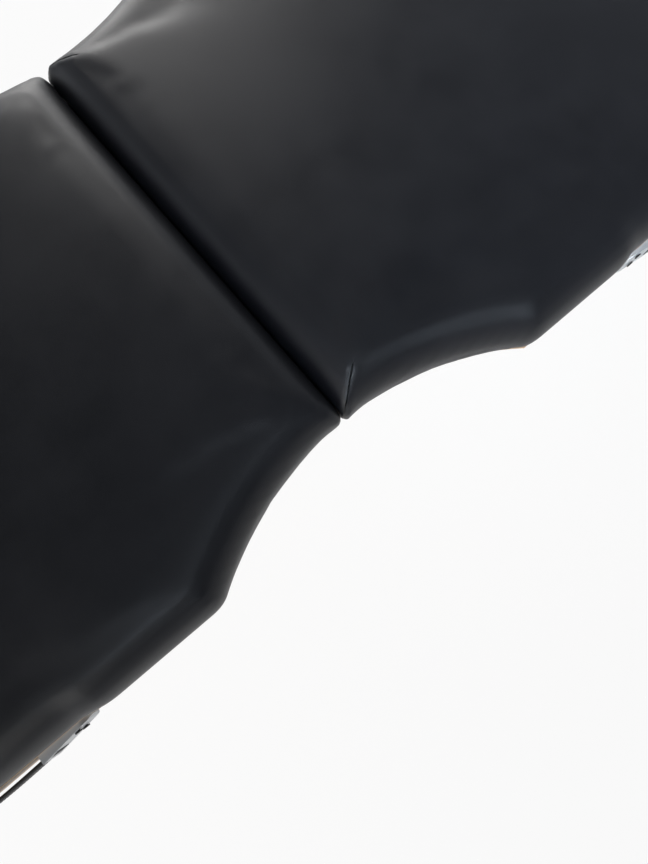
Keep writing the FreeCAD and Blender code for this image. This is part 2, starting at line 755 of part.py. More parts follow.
def fold_pins(name):
    """Hinge pins on the fold's axis, with a head at each end."""
    made = []
    cap = "leaf_thick"
    for which, lane in LANES.items():
        start = f"({signed(lane, 'leaf_place')} - leaf_length / 2 - {cap})"
        pin = rod(f"{name}_{which}_pin", ("0", start, FOLD_HEIGHT), f"leaf_length + 2 * {cap}",
                  "fold_pin", "y")
        heads = [rod(f"{name}_{which}_head", ("0", low, FOLD_HEIGHT), cap, "knuckle_radius", "y")
                 for low in (start, f"({start} + leaf_length + {cap})")]
        made.append(fuse(f"{name}_{which}", pin, *heads))
    return node(group(name, *made), name)


def latch_studs(name, side):
    """Plates on the end rail with a headed stud: the hooks' pivots, or the studs that they catch."""
    made = []
    reach = "(hook_plate + 2 * slot_play)"
    for which, lane in LANES.items():
        label = f"{name}_{which}"
        middle = signed(lane, "latch_place")
        plate = side_block(f"{label}_plate", side,
                           (RAIL_END, f"{middle} - latch_pad / 2",
                            f"{LATCH_HEIGHT} - latch_pad / 2"),
                           ("latch_plate", "latch_pad", "latch_pad"))
        stud = outward_rod(f"{label}_stud", side, f"({RAIL_END} + latch_plate)", reach,
                           "latch_stud", middle, LATCH_HEIGHT)
        head = outward_rod(f"{label}_head", side, f"({RAIL_END} + latch_plate + {reach})",
                           "latch_plate", "latch_head", middle, LATCH_HEIGHT)
        made.append(fuse(label, plate, stud, head))
    return node(group(name, *made), name)


def latch_hook(name, lane):
    """Flat hook on its stud, parked level towards the middle; its mouth opens downwards."""
    length = f"(2 * ({LATCH_HEIGHT} - {FOLD_HEIGHT}))"
    start = f"({RAIL_END} + latch_plate + slot_play)"
    pivot = signed(lane, "latch_place")
    tip = f"({pivot} + {-lane} * {length})"
    low = pivot if lane < 0 else tip
    arm = side_block(f"{name}_arm", -1, (start, low, f"{LATCH_HEIGHT} - hook_arm / 2"),
                     ("hook_plate", length, "hook_arm"))
    eyes = [outward_rod(f"{name}_eye", -1, start, "hook_plate", "hook_eye", y, LATCH_HEIGHT)
            for y in (pivot, tip)]
    bore = outward_rod(f"{name}_bore", -1, f"({start} - 1)", "hook_plate + 2",
                       "latch_stud + run_gap", pivot, LATCH_HEIGHT)
    seat = "(latch_stud + soft_gap)"
    mouth = outward_rod(f"{name}_mouth", -1, f"({start} - 1)", "hook_plate + 2", seat, tip,
                        LATCH_HEIGHT)
    throat = side_block(f"{name}_throat", -1,
                        (f"({start} - 1)", f"{tip} - {seat}", f"{LATCH_HEIGHT} - 2 * hook_eye"),
                        ("hook_plate + 2", f"2 * {seat}", "2 * hook_eye"))
    return node(cut(name, fuse(f"{name}_metal", arm, *eyes), bore, mouth, throat), name)


def section(half, side):
    """Everything that stays with one half of the table."""
    lane_run = f"{half}_lane"
    cover(f"{half}_cover", side)
    foam(f"{half}_foam", side)
    deck(f"{half}_deck", side)
    for which, lane in LANES.items():
        side_rail(f"{half}_{which}_rail", side, lane)
        stay_hook(f"{half}_stay_hook_{which}", side, lane, lane_run)
    end_rail(f"{half}_end_rail", side)
    centre_rail(f"{half}_centre_rail", side)
    hinge_brackets(f"{half}_hinge_brackets", side, lane_run)
    hinge_bolts(f"{half}_hinge_bolts", side, lane_run)
    handle_caps(f"{half}_handle_caps", side)
    handle_screws(f"{half}_handle_screws", side)
    node(strap_block(f"{half}_handle_strap", side, "0"), f"{half}_handle_strap")
    fold_leaves(f"{half}_fold_leaves", side)


def leg_frame(half, side):
    """The legs of one half with what they carry."""
    lane_run = f"{half}_lane"
    crossbar(f"{half}_leg_crossbar", side, lane_run)
    clamp_bolts(f"{half}_clamp_bolts", side, lane_run)
    for which, lane in LANES.items():
        upper_leg(f"{half}_upper_leg_{which}", side, lane, lane_run)
        lower_leg(f"{half}_lower_leg_{which}", side, lane, lane_run)
        foot(f"{half}_foot_{which}", side, lane, lane_run)
        knob(f"{half}_knob_{which}", side, lane, lane_run)
        stay(f"{half}_stay_{which}", side, lane, lane_run)


def check():
    """Stop if any object failed or any sub-part isn't a valid shape."""
    failed = [item.Name for item in doc.Objects if {"Invalid", "Error"} & set(item.State)]
    if failed:
        raise RuntimeError(f"failed objects: {failed}")
    for item in nodes:
        if item.Shape.isNull() or not item.Shape.isValid() or not item.Shape.Solids:
            raise RuntimeError(f"bad shape: {item.Label}")


for half, side in SIDES.items():
    section(half, side)
    leg_frame(half, side)
fold_pins("fold_pins")
latch_studs("latch_bases", -1)
latch_studs("latch_keepers", 1)
for which, lane in LANES.items():
    latch_hook(f"latch_hook_{which}", lane)
doc.recompute()
check()
os.makedirs("parts", exist_ok=True)
for item in nodes:
    item.Shape.exportStep(f"parts/{item.Label}.step")
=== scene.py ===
import math

import bmesh
import bpy
from mathutils import Matrix, Vector, noise


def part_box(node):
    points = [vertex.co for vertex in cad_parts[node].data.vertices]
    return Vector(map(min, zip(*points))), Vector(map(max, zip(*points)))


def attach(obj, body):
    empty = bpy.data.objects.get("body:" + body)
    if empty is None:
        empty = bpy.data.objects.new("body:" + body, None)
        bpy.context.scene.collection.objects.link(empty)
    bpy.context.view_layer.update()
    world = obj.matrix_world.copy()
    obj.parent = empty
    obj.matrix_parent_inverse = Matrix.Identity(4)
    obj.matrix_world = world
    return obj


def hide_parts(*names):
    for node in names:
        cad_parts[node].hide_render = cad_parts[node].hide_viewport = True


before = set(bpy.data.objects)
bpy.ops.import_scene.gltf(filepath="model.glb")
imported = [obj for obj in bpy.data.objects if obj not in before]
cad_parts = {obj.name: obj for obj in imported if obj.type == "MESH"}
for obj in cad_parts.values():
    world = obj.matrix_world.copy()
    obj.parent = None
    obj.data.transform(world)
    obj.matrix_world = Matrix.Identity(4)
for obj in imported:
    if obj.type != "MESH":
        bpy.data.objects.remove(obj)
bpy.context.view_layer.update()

SCENE = bpy.context.scene

MM = 0.001
SIDES = {"left": -1, "right": 1}

# Plan of the pads, read from the frame where it has it
COVER_LOW, COVER_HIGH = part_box("right_cover")
CAPS_LOW, CAPS_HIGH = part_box("right_handle_caps")
PAD_END = COVER_HIGH.x
PAD_HALF = COVER_HIGH.y
PAD_BASE = COVER_LOW.z
PAD_TOP = COVER_HIGH.z
HALF_GAP = COVER_LOW.x
WAIST_RUN = 220 * MM
WAIST_DEPTH = 70 * MM
WAIST_RADIUS = (WAIST_RUN**2 + WAIST_DEPTH**2) / (2 * WAIST_DEPTH)
WAIST_CENTRE = PAD_HALF - WAIST_DEPTH + WAIST_RADIUS
END_ROUND = 60 * MM
RECESS_LEAD = 33 * MM
RECESS_SLOPE = 27 * MM
RECESS_DEPTH = 6 * MM

# Form of the upholstery. An inner corner is its radius at the pad's widest and the radius's gain
# per metre of inset.
EDGE_REACH = 44 * MM
EDGE_DROP = 41 * MM
EDGE_STEPS = 10
SLACK = 0.8 * MM
BULGE = 1.2 * MM
WALL_BULGE = 0.7 * BULGE
FOLD_CLEAR = 0.3 * MM
VOXEL = 8 * MM
SWELL = 3 * MM
WAVE = 0.35 * MM
WAVE_LENGTH = 0.16
SHARP_CORNER = (3 * MM, 0)
SOFT_CORNER = (6 * MM, 0.9)
TIP_STEPS = 6
WAIST_STEPS = 20
END_STEPS = 10

# Stuffing of the pads as cloth
STUFFING_FRAMES = 20
STUFFING_PRESSURE = 4
STAPLED_HEIGHT = 1 * MM

# Inner corners drawn out to a point in plan, each by its own amount, and the soft one's creases
CORNER_RUN = 24 * MM
CORNER_WIDTH = 13 * MM
SHARP_DRAW = 5 * MM
SOFT_DRAW = 3.5 * MM
CREASES_PLACE = 35 * MM
CREASES_WIDTH = 20 * MM

# Dart sewn over the right pad's inner corners; the cuts beside it are in mm
DART_LENGTH = 51 * MM
DART_TURN = math.radians(40)
DART_MARGIN = 20 * MM
DART_CUTS = (-10, -6, -3, 3, 6, 10)
DART_FADE = 8 * MM
DART_SINK = 5 * MM
DART_SINK_RUN = 15 * MM
DART_HALF = 0.8 * MM
DART_PUFF = 0.5 * MM
DART_PUFF_PLACE = 5 * MM
DART_PUFF_WIDTH = 0.6 * DART_PUFF_PLACE
PUCKER_PITCH = 7 * MM
PUCKER_SHARE = 0.25

# A point whose normal is lower than this is on a pad's underside
UNDERSIDE = -0.5

# Carry straps; their edges are rolled by a share of their thickness
STRAP_TUCK = 18 * MM
STRAP_BOW = 0.8 * MM
STRAP_EDGE = 0.42
STRAP_CUTS = 40
STITCH_PITCH = 4 * MM
STITCH_LENGTH = 2.8 * MM
STITCH_MARGIN = 1 / 6
THREAD_RADIUS = 0.4 * MM

# Share of plain white in the floor, to the camera and in reflections
FLOOR_WHITE = 0.92
FLOOR_MIRRORED = 0.5

# Heights between which the world dims, and its level overhead and on the camera's side
SKY_DIMS = (0.1, 0.55)
SKY_OVERHEAD = 0.12
SKY_NEAR = 0.4

# Camera over the near edge
SIGHT_PLANE = 0.560
CAMERA_ABOVE = 0.6278
CAMERA_PLACE = Vector((-0.1191, -0.3896, SIGHT_PLANE + CAMERA_ABOVE))
CAMERA_FORWARD = Vector((0.1450, 0.1720, -0.9744))
CAMERA_RIGHT = Vector((0.7645, -0.6447, 0.0))
LENS_MM = 25.0
SENSOR_MM = 36.0


class Path:
    """A chain of edges at one height, drawn on from its last corner."""

    def __init__(self, mesh, start, height):
        self.mesh = mesh
        self.height = height
        self.first = mesh.verts.new((*start, height))
        self.last = self.first
        self.edges = []

    def line(self, spot):
        """Go straight to a spot."""
        corner = self.mesh.verts.new((*spot, self.height))
        self.edges.append(self.mesh.edges.new((self.last, corner)))
        self.last = corner

    def bend(self, centre, angle, steps):
        """Go round a centre by an angle."""
        before = len(self.mesh.edges)
        made = bmesh.ops.spin(self.mesh, geom=[self.last], cent=(*centre, self.height),
                              axis=(0, 0, 1), angle=angle, steps=steps)
        self.edges += self.mesh.edges[:][before:]
        self.last = next(v for v in made["geom_last"] if isinstance(v, bmesh.types.BMVert))

    def close(self):
        """Join the last corner to the first and return the ring's edges."""
        self.edges.append(self.mesh.edges.new((self.last, self.first)))
        return self.edges


def plan_ring(mesh, inset, height, corner):
    """Ring of edges on the right pad's plan, moved in by an inset."""
    radius = corner[0] + corner[1] * inset
    waist = WAIST_RADIUS + inset
    half = PAD_HALF - inset
    edge = HALF_GAP + inset
    corner_x = edge + radius
    corner_y = WAIST_CENTRE - math.sqrt((waist + radius)**2 - corner_x**2)
    touch = math.atan2(WAIST_CENTRE - corner_y, corner_x)
    stop = math.asin((WAIST_CENTRE - half) / waist)
    end_x = PAD_END - END_ROUND
    end_y = PAD_HALF - END_ROUND
    recess_in = CAPS_LOW.x - RECESS_LEAD
    recess_out = CAPS_HIGH.x + RECESS_LEAD

    path = Path(mesh, (edge, -corner_y), height)
    path.bend((corner_x, -corner_y), touch, TIP_STEPS)
    path.bend((0, -WAIST_CENTRE), stop - touch, WAIST_STEPS)
    path.line((recess_in, -half))
    path.line((recess_in + RECESS_SLOPE, RECESS_DEPTH - half))
    path.line((recess_out - RECESS_SLOPE, RECESS_DEPTH - half))
    path.line((recess_out, -half))
    path.line((end_x, -half))
    path.bend((end_x, -end_y), math.pi / 2, END_STEPS)
    path.line((PAD_END - inset, end_y))
    path.bend((end_x, end_y), math.pi / 2, END_STEPS)
    path.line((waist * math.cos(stop), half))
    path.bend((0, WAIST_CENTRE), stop - touch, WAIST_STEPS)
    path.bend((corner_x, corner_y), touch, TIP_STEPS)
    return path.close()


def pad_blank(name, side, corner):
    """The pad before it is stuffed: rings up its side and over its rounded edge, closed flat."""
    mesh = bmesh.new()
    shoulder = PAD_TOP - SLACK - EDGE_DROP
    levels = [(SLACK, PAD_BASE - VOXEL), (SLACK, PAD_BASE), (-WALL_BULGE, PAD_BASE + VOXEL)]
    for step in range(EDGE_STEPS + 1):
        angle = math.pi / 2 * step / EDGE_STEPS
        levels.append((EDGE_REACH * (1 - math.cos(angle)) - BULGE,
                       shoulder + EDGE_DROP * math.sin(angle)))
    rings = [plan_ring(mesh, inset, height, corner) for inset, height in levels]
    for lower, upper in zip(rings, rings[1:]):
        bmesh.ops.bridge_loops(mesh, edges=lower + upper)
    for ring in (rings[0], rings[-1]):
        bmesh.ops.contextual_create(mesh, geom=ring)
    bmesh.ops.scale(mesh, vec=(side, 1, 1), verts=mesh.verts)
    bmesh.ops.recalc_face_normals(mesh, faces=mesh.faces)
    return finished(name, mesh)


def finished(name, mesh):
    """Make an object at the origin from a bmesh and put it in the scene."""
    data = bpy.data.meshes.new(name)
    mesh.to_mesh(data)
    mesh.free()
    thing = bpy.data.objects.new(name, data)
    SCENE.collection.objects.link(thing)
    return thing


def apply_modifiers(thing):
    """Replace a piece's mesh by what its modifiers make of it."""
    graph = bpy.context.evaluated_depsgraph_get()
    made = bpy.data.meshes.new_from_object(thing.evaluated_get(graph))
    thing.modifiers.clear()
    old = thing.data
    thing.data = made
    bpy.data.meshes.remove(old)


def even_mesh(thing, size):
    """Give a blank an even mesh."""
    modifier = thing.modifiers.new("even_mesh", "REMESH")
    modifier.mode = "VOXEL"
    modifier.voxel_size = size
    apply_modifiers(thing)


def stuff(thing, cap):
    """Inflate a blank as cloth stapled under the deck; no point goes in, or out past the cap."""
    rest = [v.co.copy() for v in thing.data.vertices]
    outward = [v.normal.copy() for v in thing.data.vertices]
    stapled = thing.vertex_groups.new(name="stapled")
    low = [i for i, place in enumerate(rest) if place.z < PAD_BASE + STAPLED_HEIGHT]
    stapled.add(low, 1, "ADD")
    cloth = thing.modifiers.new("stuffing", "CLOTH")
    settings = cloth.settings
    settings.vertex_group_mass = "stapled"
    settings.quality = 5
    settings.mass = 0.4
    settings.tension_stiffness = 40
    settings.compression_stiffness = 40
    settings.shear_stiffness = 20
    settings.bending_stiffness = 8
    settings.use_pressure = True
    settings.uniform_pressure_force = STUFFING_PRESSURE
    settings.effector_weights.gravity = 0
    cloth.collision_settings.use_self_collision = False
    cloth.point_cache.frame_start = 1
    cloth.point_cache.frame_end = STUFFING_FRAMES
    SCENE.frame_start = 1
    SCENE.frame_end = STUFFING_FRAMES
    for step in range(1, STUFFING_FRAMES + 1):
        SCENE.frame_set(step)
    apply_modifiers(thing)
    SCENE.frame_set(1)
    for vertex, start, out in zip(thing.data.vertices, rest, outward):
        way = vertex.co - start
        way -= out * min(0, way.dot(out))
        if way.length > 0:
            way *= cap * math.tanh(way.length / cap) / way.length
        vertex.co = start + way
    thing.vertex_groups.clear()


def refine(thing, levels):
    """Subdivide a piece's mesh for good."""
    modifier = thing.modifiers.new("fine_mesh", "SUBSURF")
    modifier.levels = levels
    modifier.render_levels = levels
    apply_modifiers(thing)


def settle_foam(thing, side):
    """Give the top a faint unevenness, and keep the pad on its deck and out of the gap."""
    for vertex in thing.data.vertices:
        place = vertex.co
        share = min(1, max(0, (place.z - PAD_BASE) / (PAD_TOP - PAD_BASE)))
        place.z += WAVE * share * noise.noise(place / WAVE_LENGTH)
        place.z = max(place.z, PAD_BASE)
        place.x = side * max(side * place.x, FOLD_CLEAR)


def inner_tips(side):
    """Both inner corners of a pad in plan, each with the direction in which its dart runs."""
    tips = []
    for lane in (-1, 1):
        tip = Vector((side * HALF_GAP, lane * (PAD_HALF - WAIST_DEPTH)))
        along = Vector((side * math.cos(DART_TURN), -lane * math.sin(DART_TURN)))
        tips.append((tip, along))
    return tips


def draw_corners(thing, side, amount):
    """Draw the inner corners out towards their tips, which the even mesh has rounded off."""
    for vertex in thing.data.vertices:
        for tip, along in inner_tips(side):
            flat = vertex.co.xy - tip
            share = 1 - max(0, flat.dot(along)) / CORNER_RUN
            if share > 0:
                off = flat.dot(Vector((-along.y, along.x))) / CORNER_WIDTH
                vertex.co.xy -= along * amount * share * math.exp(-off**2)


def sew_darts(thing, side):
    """Cut the mesh along each dart and draw its line in, with puckers beside it."""
    mesh = bmesh.new()
    mesh.from_mesh(thing.data)
    # Mask of the painted shade along each dart's line, read by the leather
    layer = mesh.verts.layers.float.new("dart")
    for tip, along in inner_tips(side):
        across = Vector((-along.y, along.x))
        for offset in DART_CUTS:
            split_strip(mesh, tip, along, across, offset * MM)
        for offset in (-DART_HALF, DART_HALF):
            for edge in split_strip(mesh, tip, along, across, offset):
                edge.smooth = False
        split_strip(mesh, tip, along, across, 0)
        mesh.normal_update()
        for vertex in dart_strip(mesh, tip, along, across):
            draw_in(vertex, tip, along, across, layer)
    mesh.to_mesh(thing.data)
    mesh.free()


def dart_strip(mesh, tip, along, across):
    """Vertices round a dart."""
    found = []
    for vertex in mesh.verts:
        flat = vertex.co.xy - tip
        run = flat.dot(along)
        near = abs(flat.dot(across)) < DART_MARGIN
        if near and -DART_MARGIN < run < DART_LENGTH + DART_MARGIN:
            found.append(vertex)
    return found


def split_strip(mesh, tip, along, across, offset):
    """Cut the faces round a dart by an upright plane along it and return the cut's edges."""
    corners = dart_strip(mesh, tip, along, across)
    strip = set(corners)
    faces = [f for f in mesh.faces if strip.issuperset(f.verts)]
    edges = list(dict.fromkeys(e for f in faces for e in f.edges))
    start = tip + across * offset
    made = bmesh.ops.bisect_plane(mesh, geom=corners + edges + faces, dist=1e-6,
                                  plane_co=(start.x, start.y, 0),
                                  plane_no=(across.x, across.y, 0))
    return [item for item in made["geom_cut"] if isinstance(item, bmesh.types.BMEdge)]


def draw_in(vertex, tip, along, across, layer):
    """Sink a point on a dart's line, mark it for the painted shade, and puff the points on its
    flanks.
    """
    flat = vertex.co.xy - tip
    run = flat.dot(along)
    off = abs(flat.dot(across))
    fade = min(1, max(0, (DART_LENGTH - run) / DART_FADE))
    if vertex.normal.z < UNDERSIDE or fade == 0:
        return
    line = fade if off < DART_HALF / 2 else 0
    flank = math.exp(-((off - DART_PUFF_PLACE) / DART_PUFF_WIDTH)**2) * fade
    pucker = 1 - PUCKER_SHARE + PUCKER_SHARE * math.sin(2 * math.pi * run / PUCKER_PITCH)
    depth = DART_SINK * line * min(1, max(0, run / DART_SINK_RUN))
    vertex.co += vertex.normal * (DART_PUFF * flank * pucker - depth)
    vertex[layer] = max(vertex[layer], line)


def mark_creases(thing, side):
    """Mark the drawn leather near a soft corner, for the material's fine creases."""
    layer = thing.data.attributes.new("creases", "FLOAT", "POINT")
    tips = inner_tips(side)
    for index, vertex in enumerate(thing.data.vertices):
        reach = min((vertex.co.xy - tip).length for tip, _ in tips)
        layer.data[index].value = math.exp(-((reach - CREASES_PLACE) / CREASES_WIDTH)**2)


def smooth(thing):
    """Shade a piece smoothly."""
    for polygon in thing.data.polygons:
        polygon.use_smooth = True


def pad(half, corner):
    """One padded section of the table top."""
    side = SIDES[half]
    thing = pad_blank(f"{half}_pad", side, corner)
    even_mesh(thing, VOXEL)
    stuff(thing, SWELL)
    refine(thing, 1)
    if corner is SHARP_CORNER:
        draw_corners(thing, side, SHARP_DRAW)
        sew_darts(thing, side)
    else:
        draw_corners(thing, side, SOFT_DRAW)
        mark_creases(thing, side)
    settle_foam(thing, side)
    smooth(thing)
    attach(thing, f"{half}_section")
    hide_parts(f"{half}_cover", f"{half}_foam")
    return thing


def strap(half):
    """Carry strap with rolled edges, a little fuller and further out in its middle."""
    low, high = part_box(f"{half}_handle_strap")
    size = high - low
    mesh = bmesh.new()
    bmesh.ops.create_cube(mesh, size=1)
    bmesh.ops.scale(mesh, vec=size, verts=mesh.verts)
    bmesh.ops.bevel(mesh, geom=lengthways(mesh), offset=STRAP_EDGE * size.y, segments=4,
                    profile=0.5, affect="EDGES", material=-1)
    bmesh.ops.subdivide_edges(mesh, edges=lengthways(mesh), cuts=STRAP_CUTS, use_grid_fill=True)
    for vertex in mesh.verts:
        vertex.co.y -= bow(vertex.co.x, size.x)
    bmesh.ops.translate(mesh, vec=(low + high) / 2, verts=mesh.verts)
    bmesh.ops.recalc_face_normals(mesh, faces=mesh.faces)
    thing = finished(f"{half}_strap", mesh)
    smooth(thing)
    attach(thing, f"{half}_section")
    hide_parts(f"{half}_handle_strap")
    return thing


def lengthways(mesh):
    """Edges that run along a strap."""
    return [e for e in mesh.edges if abs(e.verts[0].co.x - e.verts[1].co.x) > STRAP_TUCK]


def bow(run, length):
    """How far a strap stands out at a place along it; nothing where its caps hold it."""
    free = length / 2 - STRAP_TUCK
    return STRAP_BOW * math.cos(math.pi / 2 * min(1, abs(run) / free))


def strap_thread(half):
    """Two rows of stitches on the free length of a strap."""
    low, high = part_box(f"{half}_handle_strap")
    length = high.x - low.x
    count = int((length - 2 * STRAP_TUCK) / STITCH_PITCH)
    margin = STITCH_MARGIN * (high.z - low.z)
    mesh = bmesh.new()
    for row in (low.z + margin, high.z - margin):
        for index in range(count):
            run = (index + 0.5 - count / 2) * STITCH_PITCH
            spot = Vector(((low.x + high.x) / 2 + run, low.y - bow(run, length), row))
            turn = Matrix.Translation(spot) @ Matrix.Rotation(math.pi / 2, 4, "Y")
            bmesh.ops.create_cone(mesh, cap_ends=True, segments=6, radius1=THREAD_RADIUS,
                                  radius2=THREAD_RADIUS, depth=STITCH_LENGTH, matrix=turn)
    thing = finished(f"{half}_strap_thread", mesh)
    smooth(thing)
    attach(thing, f"{half}_section")
    return thing


def group_start(name, inputs, outputs):
    """Open a node group with named sockets and return it with its two end nodes' sockets."""
    tree = bpy.data.node_groups.new(name, "ShaderNodeTree")
    for label, kind, value in inputs:
        socket = tree.interface.new_socket(label, in_out="INPUT", socket_type=kind)
        if value is not None:
            socket.default_value = value
    for label, kind in outputs:
        tree.interface.new_socket(label, in_out="OUTPUT", socket_type=kind)
    given = tree.nodes.new("NodeGroupInput").outputs
    result = tree.nodes.new("NodeGroupOutput").inputs
    return tree, given, result


def add(tree, kind, settings=None, **inputs):
    """Add a node, set its properties, and set or link its sockets by name."""
    node = tree.nodes.new(kind)
    for key, value in (settings or {}).items():
        setattr(node, key, value)
    for key, value in inputs.items():
        feed(tree, node.inputs[key.replace("_", " ")], value)
    return node


def feed(tree, socket, value):
    """Link an output to a socket, or write a plain value in it."""
    if isinstance(value, bpy.types.NodeSocket):
        tree.links.new(value, socket)
    else:
        socket.default_value = value


def reckon(tree, operation, *values):
    """A Math node's result from links or numbers."""
    node = tree.nodes.new("ShaderNodeMath")
    node.operation = operation
    for socket, value in zip(node.inputs, values):
        feed(tree, socket, value)
    return node.outputs[0]


def spread(tree, value, low, high, start=0.0, stop=1.0):
    """Stretch a range of values to another, held at its ends."""
    node = add(tree, "ShaderNodeMapRange", {"clamp": True}, Value=value, From_Min=low,
               From_Max=high, To_Min=start, To_Max=stop)
    return node.outputs["Result"]


def mixed(tree, factor, first, last):
    """Mix two colours by a mask."""
    node = add(tree, "ShaderNodeMix", {"data_type": "RGBA"})
    colours = [s for s in node.inputs if s.type == "RGBA"]
    feed(tree, node.inputs["Factor"], factor)
    feed(tree, colours[0], first)
    feed(tree, colours[1], last)
    return next(s for s in node.outputs if s.type == "RGBA")


def grain_of_hide():
    """Pores, short creases and broad mottling of artificial leather."""
    tree, given, result = group_start(
        "grain_of_hide",
        [("Vector", "NodeSocketVector", None), ("Pore Scale", "NodeSocketFloat", 700.0),
         ("Crease Scale", "NodeSocketFloat", 55.0), ("Crease Share", "NodeSocketFloat", 0.3)],
        [("Height", "NodeSocketFloat"), ("Mottle", "NodeSocketFloat")])
    cells = add(tree, "ShaderNodeTexVoronoi", {"feature": "DISTANCE_TO_EDGE"},
                Vector=given["Vector"], Scale=given["Pore Scale"])
    pores = spread(tree, cells.outputs["Distance"], 0.0, 0.16)
    crease = add(tree, "ShaderNodeTexNoise", None, Vector=given["Vector"],
                 Scale=given["Crease Scale"], Detail=6.0, Roughness=0.6, Distortion=0.6)
    part = reckon(tree, "MULTIPLY", crease.outputs["Fac"], given["Crease Share"])
    feed(tree, result["Height"], reckon(tree, "ADD", pores, part))
    cloud = add(tree, "ShaderNodeTexNoise", None, Vector=given["Vector"], Scale=14.0, Detail=4.0,
                Roughness=0.55)
    feed(tree, result["Mottle"], spread(tree, cloud.outputs["Fac"], 0.3, 0.7))
    return tree


def figure_of_wood():
    """Growth bands, fibres and flecks of a straight-grained hardwood."""
    tree, given, result = group_start(
        "figure_of_wood",
        [("Vector", "NodeSocketVector", None), ("Light", "NodeSocketColor", (0.7, 0.5, 0.3, 1)),
         ("Dark", "NodeSocketColor", (0.5, 0.3, 0.16, 1)), ("Fleck", "NodeSocketFloat", 0.5)],
        [("Color", "NodeSocketColor"), ("Height", "NodeSocketFloat"),
         ("Roughness", "NodeSocketFloat")])
    bands = add(tree, "ShaderNodeTexNoise", None, Vector=given["Vector"], Scale=9.0, Detail=5.0,
                Roughness=0.55, Distortion=0.4)
    fibres = add(tree, "ShaderNodeTexNoise", None, Vector=given["Vector"], Scale=150.0,
                 Detail=3.0, Roughness=0.7)
    flecks = add(tree, "ShaderNodeTexVoronoi", None, Vector=given["Vector"], Scale=110.0)
    fleck = reckon(tree, "MULTIPLY", spread(tree, flecks.outputs["Distance"], 0.24, 0.1),
                   given["Fleck"])
    depth = reckon(tree, "MULTIPLY_ADD", fibres.outputs["Fac"], 0.35, bands.outputs["Fac"])
    base = mixed(tree, spread(tree, depth, 0.4, 0.95), given["Light"], given["Dark"])
    feed(tree, result["Color"], mixed(tree, fleck, base, given["Dark"]))
    feed(tree, result["Height"], fibres.outputs["Fac"])
    feed(tree, result["Roughness"], spread(tree, bands.outputs["Fac"], 0.3, 0.7, 0.38, 0.56))
    return tree


def handled_surface():
    """Uneven sheen, rubbed patches and fine marks of handled metal, plastic and rubber."""
    tree, given, result = group_start(
        "handled_surface",
        [("Vector", "NodeSocketVector", None), ("Fine Scale", "NodeSocketFloat", 400.0),
         ("Cloud Scale", "NodeSocketFloat", 30.0), ("Low Roughness", "NodeSocketFloat", 0.3),
         ("High Roughness", "NodeSocketFloat", 0.5)],
        [("Height", "NodeSocketFloat"), ("Roughness", "NodeSocketFloat"),
         ("Cloud", "NodeSocketFloat")])
    fine = add(tree, "ShaderNodeTexNoise", None, Vector=given["Vector"],
               Scale=given["Fine Scale"], Detail=4.0, Roughness=0.6)
    cloud = add(tree, "ShaderNodeTexNoise", None, Vector=given["Vector"],
                Scale=given["Cloud Scale"], Detail=3.0)
    rubbed = reckon(tree, "MULTIPLY", fine.outputs["Fac"], cloud.outputs["Fac"])
    feed(tree, result["Roughness"],
         spread(tree, rubbed, 0.12, 0.4, given["Low Roughness"], given["High Roughness"]))
    feed(tree, result["Height"], fine.outputs["Fac"])
    feed(tree, result["Cloud"], spread(tree, cloud.outputs["Fac"], 0.3, 0.7))
    return tree


# Painted shade along the dart's line, and the lie and height of the soft corner's creases
DART_SHADOW = (0.002, 0.002, 0.002, 1)
CREASE_TURN = (0, 0, math.radians(55))
CREASE_STRETCH = (30, 240, 60)
CREASE_HEIGHT = 6.0

GRAIN_OF_HIDE = grain_of_hide()
FIGURE_OF_WOOD = figure_of_wood()
HANDLED_SURFACE = handled_surface()


def material_start(name):
    """A new material: its tree, its shader and the piece's own coordinates."""
    material = bpy.data.materials.new(name)
    material.use_nodes = True
    tree = material.node_tree
    tree.nodes.clear()
    shader = tree.nodes.new("ShaderNodeBsdfPrincipled")
    output = tree.nodes.new("ShaderNodeOutputMaterial")
    place = tree.nodes.new("ShaderNodeTexCoord")
    feed(tree, output.inputs["Surface"], shader.outputs["BSDF"])
    return material, tree, shader, place.outputs["Object"]


def placed(tree, group, **inputs):
    """Put a shared effect in a material's tree with its own values."""
    node = tree.nodes.new("ShaderNodeGroup")
    node.node_tree = group
    for key, value in inputs.items():
        feed(tree, node.inputs[key.replace("_", " ")], value)
    return node.outputs


def bumped(tree, shader, height, distance, strength):
    """Turn the shader's normal by a height."""
    bump = add(tree, "ShaderNodeBump", None, Distance=distance, Strength=strength, Height=height)
    feed(tree, shader.inputs["Normal"], bump.outputs["Normal"])


def leather(name, dark, light, rough, pore_scale):
    """Black artificial leather, with a painted shadow along the dart and the corner's creases
    where marked.
    """
    material, tree, shader, place = material_start(name)
    grain = placed(tree, GRAIN_OF_HIDE, Vector=place, Pore_Scale=pore_scale)
    dart = add(tree, "ShaderNodeAttribute", {"attribute_name": "dart"}).outputs["Fac"]
    creases = add(tree, "ShaderNodeAttribute", {"attribute_name": "creases"}).outputs["Fac"]
    body = mixed(tree, grain["Mottle"], (*dark, 1), (*light, 1))
    # Painted shade: the dart mask darkens the base colour along the dart's line
    feed(tree, shader.inputs["Base Color"], mixed(tree, dart, body, DART_SHADOW))
    feed(tree, shader.inputs["Roughness"], spread(tree, grain["Mottle"], 0, 1, *rough))
    shader.inputs["Specular IOR Level"].default_value = 0.4
    turned = add(tree, "ShaderNodeMapping", None, Vector=place)
    turned.inputs["Rotation"].default_value = CREASE_TURN
    turned.inputs["Scale"].default_value = CREASE_STRETCH
    lines = add(tree, "ShaderNodeTexNoise", None, Vector=turned.outputs["Vector"], Scale=1.0,
                Detail=2.0, Distortion=0.8)
    marked = reckon(tree, "MULTIPLY", lines.outputs["Fac"], creases)
    drawn = reckon(tree, "MULTIPLY", marked, CREASE_HEIGHT)
    bumped(tree, shader, reckon(tree, "ADD", grain["Height"], drawn), distance=0.0001,
           strength=0.45)
    return material


